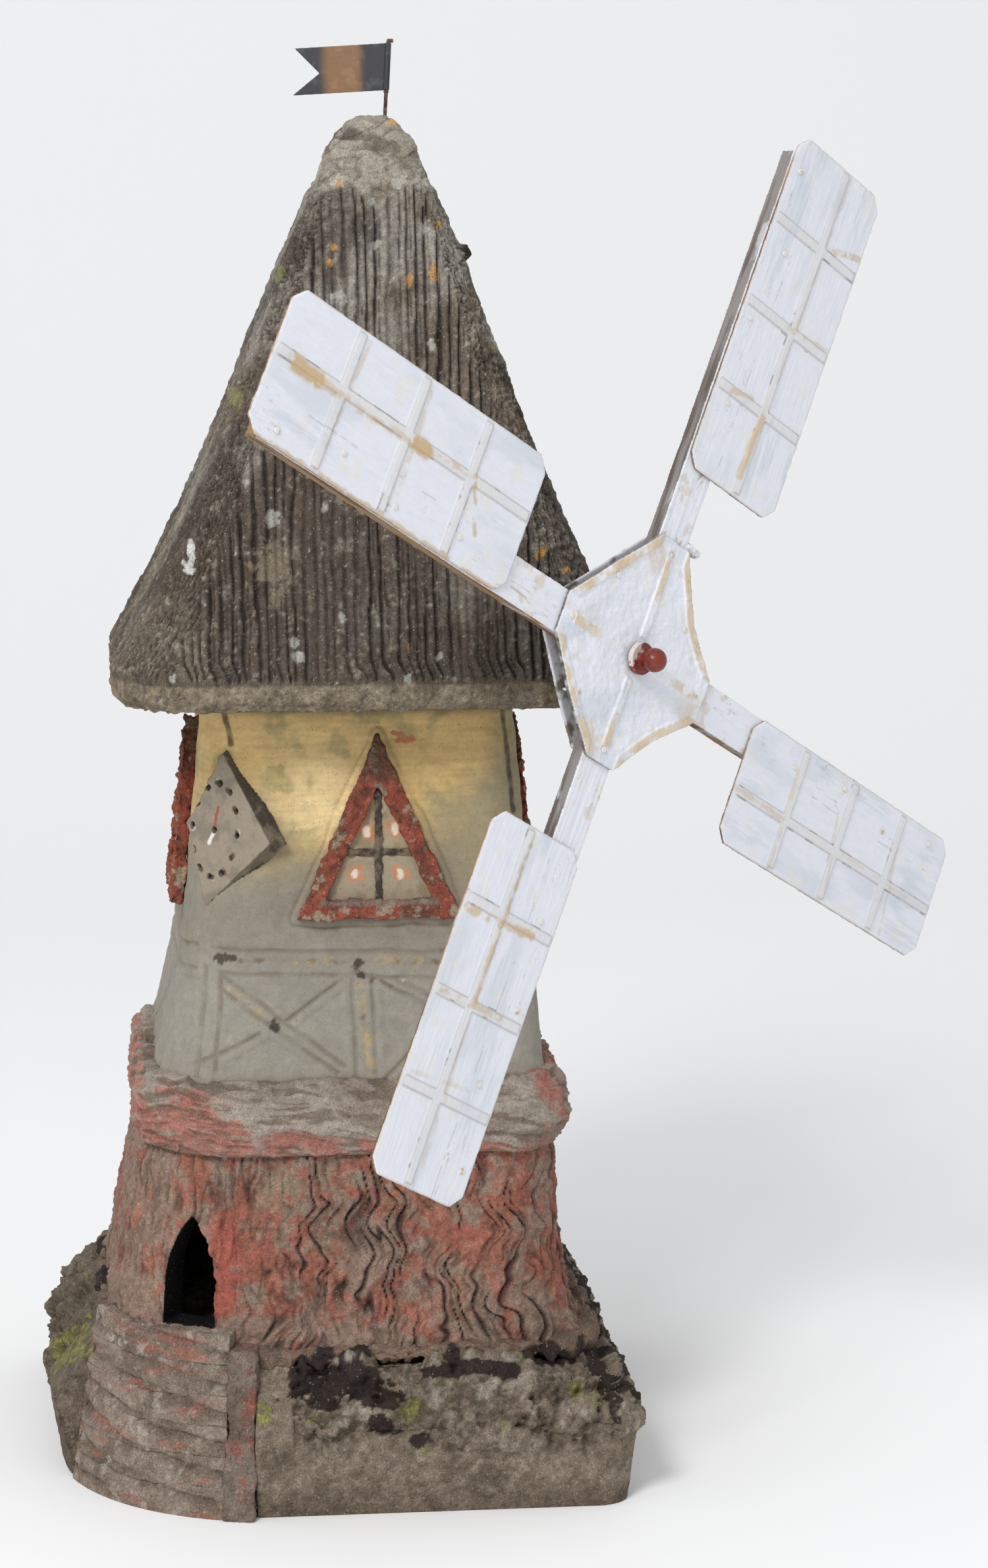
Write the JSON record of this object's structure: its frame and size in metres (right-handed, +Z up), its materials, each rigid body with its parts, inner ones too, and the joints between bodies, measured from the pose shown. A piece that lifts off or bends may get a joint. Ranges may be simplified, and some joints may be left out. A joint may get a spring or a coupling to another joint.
{
  "type": "garden windmill",
  "caption": "Free-standing garden windmill: hollow cast tower with corner stair, thatched pyramid roof, four-armed sail cross that spins on a corner axle, and a swivelling flag.",
  "frame": {"origin": "on the ground, on the vertical line that the sail axle crosses, at the middle of the tower", "axes": "+Z up, -Y towards the front with the triangle window, +X to the right; the door, stair and clock face the -X-Y corner and the sails the +X-Y corner"},
  "size_m": [0.792, 0.7476, 1.2],
  "materials": {
    "plinth_concrete": "rough weathered cast concrete with moss",
    "stair_concrete": "worn cast concrete with traces of red paint",
    "bitumen": "grainy black bitumen mastic",
    "red_concrete": "grooved concrete with worn red paint",
    "ledge_mortar": "trowelled mortar, partly painted red",
    "ochre_concrete": "smooth fine concrete, ochre wash fading to grey",
    "window_red": "rough mortar painted red",
    "window_bars": "mortar with black paint",
    "clock_mortar": "smooth grey mortar with grimy bevels",
    "thatch_concrete": "grooved dark concrete with lichen",
    "cap_mortar": "rough gritty mortar",
    "rusted_wire": "rusted iron wire",
    "flag_paint": "painted sheet, dark ends and bronze middle",
    "axle_steel": "dull weathered steel",
    "knob_red": "red gloss paint with white smears",
    "bush_brass": "tarnished brass tube",
    "grey_wood": "bare weathered grey wood",
    "white_wood": "brushed white paint, blue-grey where thin",
    "white_strip": "white paint worn to ochre along the edges",
    "nail_iron": "rust under thin white paint"
  },
  "bodies": {
    "tower": {"base_plinth": "plinth_concrete", "stair_flight": "stair_concrete", "stair_cheek": "stair_concrete", "bitumen_seal": "bitumen", "lower_storey": "red_concrete", "gallery_ledge": "ledge_mortar", "upper_storey": "ochre_concrete", "mortar_bed": "ledge_mortar", "front_window_frame": "window_red", "front_window_bars": "window_bars", "left_window_frame": "window_red", "right_window_frame": "window_red", "rear_window_frame": "window_red", "clock_panel": "clock_mortar", "roof_shell": "thatch_concrete", "roof_cap": "cap_mortar", "flag_pole": "rusted_wire", "axle": "axle_steel", "axle_grout": "cap_mortar", "axle_spacer": "axle_steel", "rear_washer": "axle_steel", "front_washer": "axle_steel", "axle_knob": "knob_red"},
    "sails": {"hub_bush": "bush_brass", "hub_back_plate": "grey_wood", "hub_plate": "white_wood", "hub_peg": "white_wood", "hub_border_strips": "white_strip", "hub_ridge_strips": "white_strip", "hub_nails": "nail_iron", "panel_nails": "nail_iron", "stock_a": "grey_wood", "stock_b": "grey_wood", "sail_1_panel": "white_wood", "sail_1_long_lath": "white_strip", "sail_1_cross_laths": "white_strip", "sail_2_panel": "white_wood", "sail_2_long_lath": "white_strip", "sail_2_cross_laths": "white_strip", "sail_3_panel": "white_wood", "sail_3_long_lath": "white_strip", "sail_3_cross_laths": "white_strip", "sail_4_panel": "white_wood", "sail_4_long_lath": "white_strip", "sail_4_cross_laths": "white_strip"},
    "flag": {"flag_sheet": "flag_paint"}
  },
  "joints": [
    {"name": "sail_spin", "type": "hinge", "parent": "tower", "child": "sails", "pos_m": [0.20079, -0.24271, 0.707], "axis": [0.6374, -0.7705, 0], "continuous": true},
    {"name": "flag_swivel", "type": "hinge", "parent": "tower", "child": "flag", "pos_m": [0.026, 0, 1.118], "axis": [0.0523, 0, 0.9986], "continuous": true}
  ]
}
